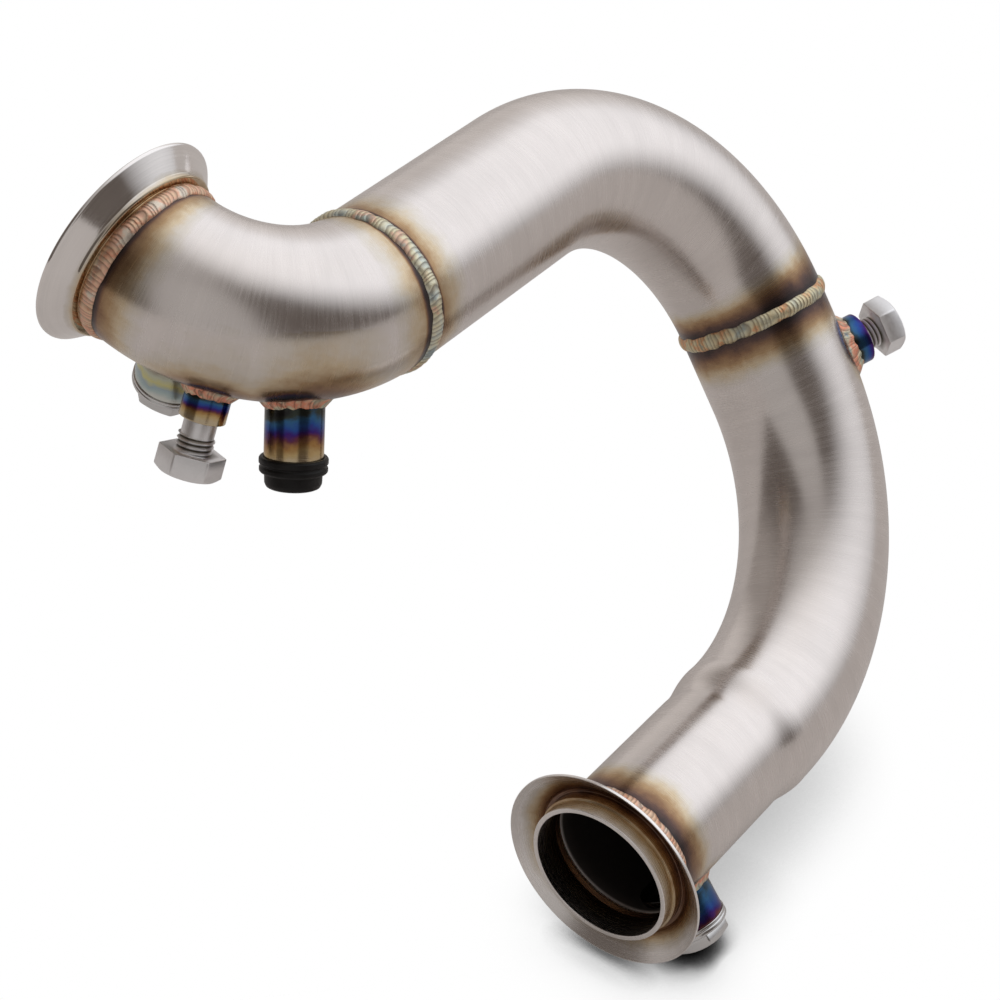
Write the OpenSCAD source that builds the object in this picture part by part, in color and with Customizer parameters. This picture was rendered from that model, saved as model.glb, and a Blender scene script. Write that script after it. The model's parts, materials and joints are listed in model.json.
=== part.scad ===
// Turbo downpipe: three mandrel-bent stainless tubes between two V-band flanges,
// with two sensor bosses, two oxygen sensor bosses and a pressure take-off pipe.
// The origin is the centre of the outlet mouth. The outlet axis is Y and the gas
// leaves towards -Y. The model is built upstream, from the outlet to the inlet.

/* [Tube] */
// Outside diameter of the main tube
tube_od = 63.5; // [50:0.5:76]
// Wall of every tube
tube_wall = 1.6; // [1:0.1:2.5]
// How much a bend's radius loses as it is drawn over the mandrel
draw_down = 0.05; // [0.02:0.01:0.2]

/* [Lower pipe] */
// How much slimmer the swaged outlet end is than the tube, on radius
swage_step = 2.25; // [0.5:0.25:8]
// Straight of the swaged outlet end
outlet_run = 73; // [60:1:120]
// Length of the swaged cone
reducer_len = 15; // [8:1:30]
// Straight between the cone and the lower bend
swage_lead = 5; // [2:1:20]
// Centreline radius of the lower bend
lower_bend_r = 110; // [90:1:150]
// Angle of the lower bend
lower_bend_angle = 86; // [60:1:100]
// Straight above the lower bend
lower_top_run = 32; // [28:1:60]
// Lean of the lower bend's plane from the vertical
lower_lean = 35; // [0:1:60]

/* [Upper pipe] */
// Turn of the upper bend's plane against the lower one
upper_turn = 3; // [-20:1:20]
// Centreline radius of the upper bend
upper_bend_r = 96; // [80:1:130]
// Angle of the upper bend
upper_bend_angle = 93; // [70:1:100]
// Straight of the upper pipe
upper_run = 98; // [60:1:140]

/* [Inlet elbow] */
// Turn of the elbow's plane against the upper one
elbow_turn = -143; // [-160:1:-120]
// Centreline radius of the elbow
elbow_bend_r = 55; // [52:1:70]
// Angle of the elbow
elbow_bend_angle = 92; // [85:1:100]
// Straight between the elbow and the inlet flange
elbow_lead = 2; // [1:0.5:10]

/* [Outlet flange] */
// How far the outlet flange's rim stands out from the pipe
outlet_rim_out = 14.3; // [11:0.1:20]
// How much wider the outlet flange's bore is than the pipe's, on radius
outlet_bore_step = 0.8; // [0.4:0.1:1.2]
// Wall of the locating lip
outlet_lip_wall = 2; // [1.5:0.1:2.5]
// How far the lip stands in front of the rim
outlet_lip_proud = 2.8; // [1:0.1:4]
// Length of the lip in front of its shoulder
outlet_lip_len = 5.9; // [4.5:0.1:8]
// Width of the lip's shoulder
outlet_shoulder_w = 0.8; // [0.4:0.1:1.2]
// Length of the lip's shoulder
outlet_shoulder_len = 4.7; // [3:0.1:7]
// Width of the groove's floor
outlet_groove_w = 1.5; // [1:0.1:3]
// Thickness of the rim's edge
outlet_rim_edge = 1.4; // [1:0.1:2]
// Distance from the groove's floor to the foot of the dish's back
outlet_dish_wall = 2.1; // [1.5:0.1:3]
// Length of the neck behind the groove
outlet_neck_len = 3.4; // [3.2:0.1:8]

/* [Inlet flange] */
// How far the inlet flange's rim stands out from the tube
inlet_rim_out = 10.75; // [8:0.25:16]
// How much wider the inlet flange's bore is than the tube's, on radius
inlet_bore_step = 0.45; // [0.35:0.05:0.8]
// Thickness of the rim's edge
inlet_rim_edge = 1.2; // [0.8:0.1:2]
// Depth of the seat inside the dish
inlet_seat_depth = 6.2; // [4:0.1:9]
// Width of the seat
inlet_seat_w = 3.8; // [2:0.1:5]
// Distance from the seat back to the foot of the dish
inlet_dish_wall = 1.4; // [1:0.1:2.5]
// How far the collar behind the dish stands out from the tube
inlet_collar_out = 3.45; // [2.5:0.05:5]
// Length of the collar
inlet_collar_len = 2.4; // [1.8:0.1:4]
// Length of the neck behind the collar
inlet_neck_len = 3.6; // [3.2:0.1:8]

/* [Welds] */
// Width of a bead round a tube joint
bead_w = 5.6; // [3:0.1:6]
// Height of a bead above the tube
bead_h = 1.3; // [0.6:0.1:2]
// Leg of the fillet round a sensor boss
sensor_fillet = 3; // [1.5:0.1:4]
// Leg of the fillet round the rear sensor boss
rear_fillet = 4.5; // [1.5:0.1:6]
// Leg of the fillet round the pressure pipe
pipe_fillet = 3; // [1.5:0.1:4]
// Leg of the fillet round an oxygen sensor boss
oxygen_fillet = 2.4; // [1.5:0.1:3]

/* [Sensor bosses] */
// Outside diameter of the front sensor boss
front_boss_d = 17.5; // [16:0.5:20]
// Height of the front sensor boss above the tube
front_boss_h = 11; // [8:0.5:16]
// Gap between the front sensor boss and the inlet oxygen boss, along the skin
front_boss_gap = 1.7; // [1:0.1:4]
// Side of the tube that the front sensor boss stands on
front_boss_clock = 120; // [115:1:122]
// Outside diameter of the rear sensor boss
rear_boss_d = 22; // [18:0.5:26]
// Height of the rear sensor boss above the tube
rear_boss_h = 9; // [7:0.5:16]
// Distance of the rear sensor boss above the lower bend
rear_boss_at = 1; // [0.5:0.5:8]
// Side of the tube that the rear sensor boss stands on
rear_boss_clock = 151; // [120:1:180]

/* [Blanking bolts] */
// Diameter of a bolt's plain pilot
pilot_d = 12.4; // [11:0.1:12.8]
// Diameter of a bolt's thread
thread_d = 14; // [13.5:0.1:14.5]
// Pitch of the thread
thread_pitch = 2; // [1.5:0.25:2.5]
// Depth of the thread
thread_depth = 0.9; // [0.5:0.1:1.1]
// Number of thread turns beside the head
thread_turns = 3; // [2:1:4]
// Width of the hexagon head across its flats
head_flats = 22; // [19:0.5:24]
// Height of the hexagon head
head_h = 8.8; // [7:0.1:10]
// Length of the front bolt's pilot that stands out of its boss
front_pilot_out = 6.5; // [2:0.5:10]
// Length of the rear bolt's pilot that stands out of its boss
rear_pilot_out = 1; // [0.5:0.5:6]
// Width of the hexagon's corner chamfer
head_chamfer = 1; // [0.5:0.1:1.5]
// How far the chamfer's upper edge lies inside the flats
head_top_inset = 0.3; // [0.1:0.1:0.8]
// Distance of a bolt's or plug's end from the tube's skin
end_clear = 1.5; // [0.5:0.1:3]

/* [Pressure pipe] */
// Outside diameter of the pressure pipe
pipe_od = 22; // [18:0.5:24]
// Length of the pressure pipe above the tube
pipe_len = 25; // [20:0.5:40]
// Gap between the pressure pipe and the front sensor boss, along the skin
pipe_gap = 12; // [9:0.5:16]
// Side of the tube that the pressure pipe stands on
pipe_clock = 125; // [110:1:140]
// Length of the pressure pipe inside its cap
cap_overlap = 4.5; // [3:0.1:6]
// Wall of the cap's collar
cap_wall = 1.7; // [1.2:0.1:3]
// Thickness of the cap's floor
cap_floor = 1.5; // [1:0.1:3]
// Height of the cap's body
cap_body_h = 6; // [4:0.1:10]
// How much slimmer the cap's body is than the pipe, on radius
cap_body_inset = 0.3; // [0:0.1:2]
// Size of the cap's moulded edges
cap_edge = 0.8; // [0.4:0.1:1.2]
// Depth of the groove round the cap's collar
cap_groove_depth = 0.6; // [0.2:0.1:1]
// Gap between the cap and the pipe
cap_gap = 0.05; // [0.02:0.01:0.2]

/* [Oxygen sensor bosses] */
// Outside diameter of an oxygen sensor boss
oxygen_boss_d = 27.5; // [25:0.5:28]
// Height of an oxygen sensor boss above the tube
oxygen_boss_h = 13; // [9:0.5:18]
// Diameter of the hole through an oxygen sensor boss
oxygen_hole_d = 17.4; // [16:0.1:18.5]
// Gap between the inlet bead and the inlet oxygen boss, along the centreline
inlet_oxygen_gap = 3.4; // [2.5:0.1:5]
// Side of the tube that the inlet oxygen boss stands on
inlet_oxygen_clock = 88; // [86:1:92]
// Gap between the outlet bead and the outlet oxygen boss
outlet_oxygen_gap = 0.2; // [0.1:0.1:20]
// Side of the tube that the outlet oxygen boss stands on
outlet_oxygen_clock = 180; // [150:1:210]
// Thickness of the sealing washer
washer_h = 1.2; // [0.8:0.1:2]
// How far the washer stands out round the boss
washer_lip = 0.4; // [0:0.1:1]
// Height of the plug's collar
plug_collar_h = 2.5; // [1.5:0.1:4]
// Size of the collar's turned edges
plug_edge = 0.7; // [0.3:0.1:1]
// Height of the plug's hexagon
plug_hex_h = 5.5; // [4:0.1:9]
// Width of the plug's hexagon across its flats
plug_flats = 22; // [19:0.5:24]
// Gap between a screwed shank and its hole
shank_gap = 0.05; // [0.02:0.01:0.2]

/* [Hidden] */
$fn = 180;

tube_r = tube_od / 2;
bend_r = tube_r - draw_down;
outlet_r = tube_r - swage_step;
pilot_hole_d = pilot_d + 2 * shank_gap;
bead_clear = 0.02;          // least gap between a bead and the bend under it
lap = 0.3;                  // how far a straight laps the end of its bend
fillet_slope = 0.3;         // how fast a fillet widens towards its tube
skin_past = 8;              // degrees that a cutting skin runs on past the elbow's ends
reducer_steps = 10;
degrees_per_radian = 180 / PI;
outlet_groove_depth = outlet_lip_len + outlet_shoulder_len;
outlet_flange_len = outlet_groove_depth + outlet_neck_len;
outlet_weld_bore_r = outlet_r - tube_wall;
outlet_bore_r = outlet_weld_bore_r + outlet_bore_step;
outlet_lip_r = outlet_bore_r + outlet_lip_wall;
outlet_shoulder_r = outlet_lip_r + outlet_shoulder_w;
outlet_groove_r = outlet_shoulder_r + outlet_groove_w;
outlet_neck_r = outlet_groove_r - outlet_rim_edge / 2;
outlet_neck_foot = outlet_groove_depth + outlet_dish_wall;
outlet_taper_len = outlet_neck_len * 0.7;   // length over which the flange's bore narrows
inlet_dish_foot = inlet_seat_depth + inlet_dish_wall;
inlet_collar_back = inlet_dish_foot + inlet_collar_len;
inlet_flange_len = inlet_collar_back + inlet_neck_len;
cap_collar_h = cap_overlap + cap_floor;
cap_groove = [0.42, 0.52, 0.60, 0.68];  // heights of the cap's groove, as shares of its collar
crest_share = 0.2;          // flat of a thread's crest, as a share of the pitch
over = 1;                   // how far a cutter runs on past what it cuts
// A bead's section: share of its width, share of its height
bead_rows = [[0, 0], [0.18, 0.75], [0.38, 1], [0.62, 1], [0.82, 0.75], [1, 0]];

// Places on the elbow, in degrees from its lower end. The bosses follow each other from
// the inlet bead down the elbow, each a named gap along the skin from the last.
inlet_oxygen_at = elbow_bend_angle - degrees_per_radian / elbow_bend_r
    * (bead_w / 2 - elbow_lead + oxygen_boss_d / 2 + inlet_oxygen_gap);
boss_spacing = front_boss_d / 2 + oxygen_boss_d / 2 + front_boss_gap;
boss_across = tube_r * (front_boss_clock - inlet_oxygen_clock) / degrees_per_radian;
boss_along = sqrt(boss_spacing ^ 2 - boss_across ^ 2);
boss_skin_r = elbow_bend_r - tube_r * cos((front_boss_clock + inlet_oxygen_clock) / 2);
front_boss_at = inlet_oxygen_at - degrees_per_radian * boss_along / boss_skin_r;
pipe_spacing = front_boss_d / 2 + pipe_od / 2 + pipe_gap;
pipe_skin_r = elbow_bend_r - tube_r * cos(pipe_clock);
pipe_at = front_boss_at - degrees_per_radian * pipe_spacing / pipe_skin_r;
outlet_oxygen_at = outlet_flange_len + bead_w / 2 + outlet_oxygen_gap + oxygen_boss_d / 2;
thread_len = thread_pitch * thread_turns;

// Moving up the tube
module past_bend(r, angle)
    translate([r * (1 - cos(angle)), 0, r * sin(angle)]) rotate([0, angle, 0]) children();

module outlet_frame() rotate([-90, 0, 0]) rotate([0, 0, -90 - lower_lean]) children();

module lower_pipe_frame() outlet_frame() translate([0, 0, outlet_flange_len]) children();

module lower_bend_frame()
    lower_pipe_frame() translate([0, 0, outlet_run + reducer_len + swage_lead]) children();

module lower_top_frame()
    lower_bend_frame() past_bend(lower_bend_r, lower_bend_angle) children();

module middle_joint_frame()
    lower_top_frame() translate([0, 0, lower_top_run]) rotate([0, 0, upper_turn]) children();

module upper_straight_frame()
    middle_joint_frame() past_bend(upper_bend_r, upper_bend_angle) children();

module elbow_joint_frame()
    upper_straight_frame() translate([0, 0, upper_run]) rotate([0, 0, elbow_turn]) children();

module inlet_joint_frame()
    elbow_joint_frame() past_bend(elbow_bend_r, elbow_bend_angle)
        translate([0, 0, elbow_lead]) children();

// Turning from the tube's axis to a boss's axis, on the side given by clock
module stand(clock) rotate([0, 0, clock]) rotate([0, 90, 0]) children();

module front_boss_frame()
    elbow_joint_frame() past_bend(elbow_bend_r, front_boss_at) stand(front_boss_clock) children();

module pipe_frame()
    elbow_joint_frame() past_bend(elbow_bend_r, pipe_at) stand(pipe_clock) children();

module inlet_oxygen_frame()
    elbow_joint_frame() past_bend(elbow_bend_r, inlet_oxygen_at)
        stand(inlet_oxygen_clock) children();

module rear_boss_frame()
    lower_top_frame() translate([0, 0, rear_boss_at]) stand(rear_boss_clock) children();

module outlet_oxygen_frame()
    outlet_frame() translate([0, 0, outlet_oxygen_at]) stand(outlet_oxygen_clock) children();

// A bend of a round bar or of a tube, starting up Z and turning towards X
module bend(r, angle, outer_r, inner_r = 0)
    translate([r, 0, 0]) rotate([90, 0, 180]) rotate_extrude(angle = angle)
        translate([r, 0]) difference() {
            circle(r = outer_r);
            if (inner_r > 0) circle(r = inner_r);
        }

module rod(len, radius, z = 0) translate([0, 0, z]) cylinder(h = len, r = radius);

module straight(len, outer_r, z = 0) rotate_extrude() polygon([
    [outer_r - tube_wall, z], [outer_r, z], [outer_r, z + len], [outer_r - tube_wall, z + len]]);

// The swage eases from one radius to the other along a half cosine wave
function swage_r(t) = outlet_r + (tube_r - outlet_r) * (1 - cos(180 * t)) / 2;

// Outlet end of the lower pipe: swaged straight, cone and lead, as one turned wall
module swaged_end() {
    steps = [for (i = [0 : reducer_steps]) i / reducer_steps];
    outer = [for (t = steps) [swage_r(t), outlet_run + reducer_len * t]];
    inner = [for (t = steps) [swage_r(1 - t) - tube_wall,
                              outlet_run + reducer_len * (1 - t)]];
    top = outlet_run + reducer_len + swage_lead + lap;
    rotate_extrude() polygon(concat(
        [[outlet_r - tube_wall, 0], [outlet_r, 0]], outer,
        [[tube_r, top], [tube_r - tube_wall, top]], inner));
}

// Skins of the bent parts, grown by a distance, for what stands on them
module elbow_skin(grow = 0) elbow_joint_frame() bend(elbow_bend_r, elbow_bend_angle, bend_r + grow);

// The elbow's skin run on past both its ends, to cut the feet of what stands on it
module elbow_cut() elbow_joint_frame() past_bend(elbow_bend_r, -skin_past)
    bend(elbow_bend_r, elbow_bend_angle + 2 * skin_past, bend_r);

module outlet_skin(grow = 0) lower_pipe_frame() rod(outlet_run, outlet_r + grow);

module lower_skin(grow = 0) {
    lower_bend_frame() bend(lower_bend_r, lower_bend_angle, bend_r + grow);
    lower_top_frame() rod(lower_top_run + lap, tube_r + grow, -lap);
}

// Holes that the bosses open in the tubes
module front_hole() front_boss_frame() cylinder(h = tube_od, d = pilot_hole_d);
module pipe_hole() pipe_frame() cylinder(h = tube_od, d = pipe_od - 2 * tube_wall);
module inlet_oxygen_hole() inlet_oxygen_frame() cylinder(h = tube_od, d = oxygen_hole_d);
module rear_hole() rear_boss_frame() cylinder(h = tube_od, d = pilot_hole_d);
module outlet_oxygen_hole() outlet_oxygen_frame() cylinder(h = tube_od, d = oxygen_hole_d);

// Tubes
module inlet_elbow() color([0.78, 0.75, 0.73]) difference() {
    union() {
        elbow_joint_frame()
            bend(elbow_bend_r, elbow_bend_angle, bend_r, bend_r - tube_wall);
        inlet_joint_frame() straight(elbow_lead + lap, tube_r, -elbow_lead - lap);
    }
    front_hole();
    pipe_hole();
    inlet_oxygen_hole();
}

module upper_pipe() color([0.78, 0.75, 0.73]) {
    middle_joint_frame() bend(upper_bend_r, upper_bend_angle, bend_r, bend_r - tube_wall);
    upper_straight_frame() straight(upper_run + lap, tube_r, -lap);
}

module lower_pipe() color([0.78, 0.75, 0.73]) difference() {
    union() {
        lower_pipe_frame() swaged_end();
        lower_bend_frame()
            bend(lower_bend_r, lower_bend_angle, bend_r, bend_r - tube_wall);
        lower_top_frame() straight(lower_top_run + lap, tube_r, -lap);
    }
    rear_hole();
    outlet_oxygen_hole();
}

// Flanges, turned: radius against distance from the face towards the tube
module outlet_flange() {
    rim_r = outlet_r + outlet_rim_out;
    color([0.80, 0.77, 0.73]) outlet_frame() rotate_extrude() polygon([
        [outlet_bore_r, 0], [outlet_lip_r, 0],
        [outlet_lip_r, outlet_lip_len], [outlet_shoulder_r, outlet_lip_len],
        [outlet_shoulder_r, outlet_groove_depth], [outlet_groove_r, outlet_groove_depth],
        [rim_r, outlet_lip_proud], [rim_r, outlet_lip_proud + outlet_rim_edge],
        [outlet_neck_r, outlet_neck_foot],
        [outlet_r, outlet_flange_len], [outlet_weld_bore_r, outlet_flange_len],
        [outlet_bore_r, outlet_flange_len - outlet_taper_len]]);
}

module inlet_flange() {
    bore_r = tube_r - tube_wall + inlet_bore_step;
    seat_r = bore_r + inlet_seat_w;
    rim_r = tube_r + inlet_rim_out;
    collar_r = tube_r + inlet_collar_out;
    edge = inlet_collar_len / 4;
    color([0.80, 0.79, 0.79]) inlet_joint_frame() translate([0, 0, inlet_flange_len])
        mirror([0, 0, 1]) rotate_extrude() polygon([
            [rim_r, 0], [rim_r, inlet_rim_edge],
            [collar_r + edge, inlet_dish_foot], [collar_r, inlet_dish_foot + edge],
            [collar_r, inlet_collar_back - edge], [collar_r - edge, inlet_collar_back],
            [tube_r, inlet_collar_back], [tube_r, inlet_flange_len],
            [bore_r, inlet_flange_len], [bore_r, inlet_seat_depth],
            [seat_r, inlet_seat_depth], [rim_r - inlet_rim_edge, 0]]);
}

// How far a bead clears the straight, so that the bend under it, which bulges on its
// inner side, clears it too
function bead_gap(turn_r) =
    (bead_w / 2) ^ 2 / 2 / (turn_r - tube_r) - draw_down + bead_clear;

// A turned bead round a tube joint
module bead(radius, gap = 0)
    translate([0, 0, -bead_w / 2]) rotate_extrude() polygon([for (row = bead_rows)
        [radius + max(gap, bead_h * row[1]), bead_w * row[0]]]);

module inlet_flange_weld() color([0.82, 0.66, 0.55]) inlet_joint_frame() bead(tube_r);

module elbow_weld() color([0.80, 0.68, 0.56])
    elbow_joint_frame() bead(tube_r, bead_gap(elbow_bend_r));

module middle_weld() color([0.80, 0.66, 0.52])
    middle_joint_frame() bead(tube_r, bead_gap(upper_bend_r));

module outlet_weld() color([0.82, 0.58, 0.42]) difference() {
    lower_pipe_frame() bead(outlet_r);
    outlet_frame() rotate_extrude() polygon([
        [0, 0], [outlet_neck_r, 0], [outlet_neck_r, outlet_neck_foot],
        [outlet_r, outlet_flange_len], [0, outlet_flange_len]]);
}

// A turned boss that stands on a tube: the tube's skin is cut out of its foot
module boss(d, hole_d, top) difference() {
    cylinder(h = top, d = d);
    translate([0, 0, -over]) cylinder(h = top + 2 * over, d = hole_d);
}

// The fillet round a boss: the tube's grown skin, inside a cone that widens downwards
module fillet_cone(d, leg, base_r)
    cylinder(h = base_r + 2 * leg, r1 = d / 2 + leg + base_r * fillet_slope,
             r2 = d / 2 + leg - 2 * leg * fillet_slope);

module front_sensor_boss() color([0.35, 0.27, 0.30]) difference() {
    front_boss_frame() boss(front_boss_d, pilot_hole_d, tube_r + front_boss_h);
    elbow_cut();
}

module front_sensor_weld() color([0.84, 0.52, 0.42]) difference() {
    intersection() {
        front_boss_frame() fillet_cone(front_boss_d, sensor_fillet, tube_r);
        elbow_skin(sensor_fillet);
    }
    elbow_cut();
    front_boss_frame() rod(tube_od, front_boss_d / 2);
    inlet_oxygen_frame() rod(tube_od, oxygen_boss_d / 2);
}

module pressure_pipe() color([0.52, 0.44, 0.34]) difference() {
    pipe_frame() boss(pipe_od, pipe_od - 2 * tube_wall, tube_r + pipe_len);
    elbow_cut();
}

module pressure_pipe_weld() color([0.84, 0.56, 0.44]) difference() {
    intersection() {
        pipe_frame() fillet_cone(pipe_od, pipe_fillet, tube_r);
        elbow_skin(pipe_fillet);
    }
    elbow_cut();
    pipe_frame() rod(tube_od, pipe_od / 2);
}

module pressure_pipe_cap() {
    socket_r = pipe_od / 2 + cap_gap;
    collar_r = socket_r + cap_wall;
    body_r = pipe_od / 2 - cap_body_inset;
    mouth = tube_r + pipe_len - cap_overlap;
    height = cap_collar_h + cap_body_h;
    color([0.08, 0.08, 0.09]) pipe_frame() translate([0, 0, mouth]) rotate_extrude() polygon([
        [0, cap_overlap], [socket_r, cap_overlap], [socket_r, 0],
        [collar_r - cap_edge, 0], [collar_r, cap_edge],
        [collar_r, cap_groove[0] * cap_collar_h],
        [collar_r - cap_groove_depth, cap_groove[1] * cap_collar_h],
        [collar_r - cap_groove_depth, cap_groove[2] * cap_collar_h],
        [collar_r - cap_edge / 4, cap_groove[3] * cap_collar_h],
        [collar_r - cap_edge / 4, cap_collar_h - cap_edge],
        [collar_r - cap_edge, cap_collar_h], [body_r, cap_collar_h],
        [body_r - cap_edge / 4, height - 2 * cap_edge], [body_r - cap_edge, height - cap_edge],
        [body_r - 2 * cap_edge, height], [0, height]]);
}

module oxygen_boss(base_r) boss(oxygen_boss_d, oxygen_hole_d, base_r + oxygen_boss_h);

module washer(base_r) translate([0, 0, base_r + oxygen_boss_h]) rotate_extrude()
    polygon([
        [oxygen_hole_d / 2, 0], [oxygen_boss_d / 2 + washer_lip, 0],
        [oxygen_boss_d / 2 + washer_lip, washer_h], [oxygen_hole_d / 2, washer_h]]);

// A hexagon with its outer corners turned off
module chamfered_hex(flats, h) intersection() {
    cylinder(h = h, d = flats / cos(30), $fn = 6);
    rotate_extrude() polygon([
        [0, 0], [flats / 2 / cos(30), 0], [flats / 2 / cos(30), h - head_chamfer],
        [flats / 2 - head_top_inset, h], [0, h]]);
}

module oxygen_plug(base_r) {
    seat = base_r + oxygen_boss_h + washer_h;
    collar_r = oxygen_boss_d / 2 + washer_lip;
    translate([0, 0, seat]) {
        rotate_extrude() polygon([
            [0, 0], [collar_r - plug_edge, 0], [collar_r, plug_edge],
            [collar_r, plug_collar_h - plug_edge], [collar_r - plug_edge, plug_collar_h],
            [0, plug_collar_h]]);
        translate([0, 0, plug_collar_h]) chamfered_hex(plug_flats, plug_hex_h);
    }
    translate([0, 0, base_r + end_clear])
        cylinder(h = seat - base_r - end_clear, d = oxygen_hole_d - 2 * shank_gap);
}

module inlet_oxygen_boss() color([0.62, 0.64, 0.55]) difference() {
    inlet_oxygen_frame() oxygen_boss(tube_r);
    elbow_cut();
}

module inlet_oxygen_weld() color([0.86, 0.64, 0.50]) difference() {
    intersection() {
        inlet_oxygen_frame() fillet_cone(oxygen_boss_d, oxygen_fillet, tube_r);
        elbow_skin(oxygen_fillet);
    }
    elbow_cut();
    inlet_oxygen_frame() rod(tube_od, oxygen_boss_d / 2);
    front_boss_frame() fillet_cone(front_boss_d, sensor_fillet, tube_r);
}

module inlet_oxygen_washer() color([0.70, 0.70, 0.70]) inlet_oxygen_frame() washer(tube_r);
module inlet_oxygen_plug() color([0.76, 0.76, 0.77]) inlet_oxygen_frame() oxygen_plug(tube_r);

module outlet_oxygen_boss() color([0.20, 0.21, 0.34]) difference() {
    outlet_oxygen_frame() oxygen_boss(outlet_r);
    outlet_skin();
}

module outlet_oxygen_weld() color([0.70, 0.62, 0.56]) difference() {
    intersection() {
        outlet_oxygen_frame() fillet_cone(oxygen_boss_d, oxygen_fillet, outlet_r);
        outlet_skin(oxygen_fillet);
    }
    outlet_skin();
    outlet_oxygen_frame() rod(tube_od, oxygen_boss_d / 2);
    lower_pipe_frame() rod(2 * bead_w, tube_od, -1.5 * bead_w);
}

module outlet_oxygen_washer() color([0.70, 0.70, 0.70]) outlet_oxygen_frame() washer(outlet_r);
module outlet_oxygen_plug() color([0.76, 0.76, 0.77]) outlet_oxygen_frame() oxygen_plug(outlet_r);

module rear_sensor_boss() color([0.30, 0.26, 0.32]) difference() {
    rear_boss_frame() boss(rear_boss_d, pilot_hole_d, tube_r + rear_boss_h);
    lower_skin();
}

module rear_sensor_weld() color([0.84, 0.56, 0.44]) difference() {
    intersection() {
        rear_boss_frame() fillet_cone(rear_boss_d, rear_fillet, tube_r);
        lower_skin(rear_fillet);
    }
    lower_skin();
    rear_boss_frame() rod(tube_od, rear_boss_d / 2);
}

// A bolt with a plain pilot, a few turns of thread and a hexagon head, from its boss's face
module blanking_bolt(boss_top, pilot_out) {
    tip = tube_r + end_clear;
    shank_r = pilot_d / 2;
    crest_r = thread_d / 2;
    root_r = crest_r - thread_depth;
    foot = boss_top + pilot_out;
    rod(foot - tip, shank_r, tip);
    translate([0, 0, foot]) rotate_extrude() polygon(concat(
        [[0, 0]],
        [for (i = [0 : thread_turns - 1]) each [
            [root_r, i * thread_pitch],
            [crest_r, (i + 0.5 - crest_share / 2) * thread_pitch],
            [crest_r, (i + 0.5 + crest_share / 2) * thread_pitch]]],
        [[root_r, thread_len], [0, thread_len]]));
    translate([0, 0, foot + thread_len]) chamfered_hex(head_flats, head_h);
}

module front_sensor_bolt() color([0.70, 0.69, 0.70])
    front_boss_frame() blanking_bolt(tube_r + front_boss_h, front_pilot_out);

module rear_sensor_bolt() color([0.70, 0.69, 0.70])
    rear_boss_frame() blanking_bolt(tube_r + rear_boss_h, rear_pilot_out);

inlet_flange();
inlet_flange_weld();
inlet_elbow();
elbow_weld();
upper_pipe();
middle_weld();
lower_pipe();
outlet_weld();
outlet_flange();
front_sensor_boss();
front_sensor_weld();
front_sensor_bolt();
pressure_pipe();
pressure_pipe_weld();
pressure_pipe_cap();
inlet_oxygen_boss();
inlet_oxygen_weld();
inlet_oxygen_washer();
inlet_oxygen_plug();
rear_sensor_boss();
rear_sensor_weld();
rear_sensor_bolt();
outlet_oxygen_boss();
outlet_oxygen_weld();
outlet_oxygen_washer();
outlet_oxygen_plug();
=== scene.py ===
# %% [markdown]
# # A turbo downpipe, dressed for its portrait
# The real object is three pieces of stainless tube, bent on a mandrel, brushed round their
# girth and welded end to end, with a clamp flange at each mouth and a few screwed bosses.
# The exact solids come from CAD. This script puts finer surfaces in their place, worked
# out with numpy in the same frame, and gives every one of them a procedural finish.

# %% Load the fixed frame
import json

import bmesh
import bpy
import numpy as np
from mathutils import Matrix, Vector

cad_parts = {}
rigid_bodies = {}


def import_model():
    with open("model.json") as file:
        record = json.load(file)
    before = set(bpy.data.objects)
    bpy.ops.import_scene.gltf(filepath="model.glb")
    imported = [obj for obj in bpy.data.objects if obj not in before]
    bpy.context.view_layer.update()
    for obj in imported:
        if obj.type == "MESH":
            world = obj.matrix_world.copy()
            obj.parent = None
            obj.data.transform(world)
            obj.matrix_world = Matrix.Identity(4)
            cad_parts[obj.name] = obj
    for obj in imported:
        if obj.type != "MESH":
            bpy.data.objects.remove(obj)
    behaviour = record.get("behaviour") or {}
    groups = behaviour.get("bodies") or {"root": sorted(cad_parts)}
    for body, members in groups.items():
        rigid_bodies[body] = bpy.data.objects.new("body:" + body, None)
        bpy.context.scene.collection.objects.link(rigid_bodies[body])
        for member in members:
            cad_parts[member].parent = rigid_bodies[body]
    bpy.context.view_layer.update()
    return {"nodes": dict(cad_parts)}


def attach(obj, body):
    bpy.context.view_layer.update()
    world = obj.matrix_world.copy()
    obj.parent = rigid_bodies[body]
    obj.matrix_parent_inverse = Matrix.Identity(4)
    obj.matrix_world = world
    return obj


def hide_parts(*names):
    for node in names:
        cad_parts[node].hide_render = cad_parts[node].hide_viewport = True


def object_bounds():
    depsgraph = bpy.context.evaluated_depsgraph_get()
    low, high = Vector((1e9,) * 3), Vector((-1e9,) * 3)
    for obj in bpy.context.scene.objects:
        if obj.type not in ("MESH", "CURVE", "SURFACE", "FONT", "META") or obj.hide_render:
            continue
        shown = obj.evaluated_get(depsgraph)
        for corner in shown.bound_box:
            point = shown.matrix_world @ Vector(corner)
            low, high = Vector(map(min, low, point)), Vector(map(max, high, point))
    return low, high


for leftover in list(bpy.data.objects):
    bpy.data.objects.remove(leftover)
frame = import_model()
print("CAD nodes:", len(frame["nodes"]))

# %% [markdown]
# ## One line through the whole pipe
# Everything on a downpipe is placed from the tube's centreline: so many millimetres up
# the tube, and on this or that side of it. So the script first builds that line. Each
# station on it is a 4 by 4 matrix whose Z points upstream and whose X points to the
# inside of the bend. A straight moves the matrix along Z. A bend also turns it about Y.
# A curve object with a bevel would draw the tube too, but it couldn't say how far up the
# tube a weld or a boss is, and the heat tint needs that.

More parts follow.
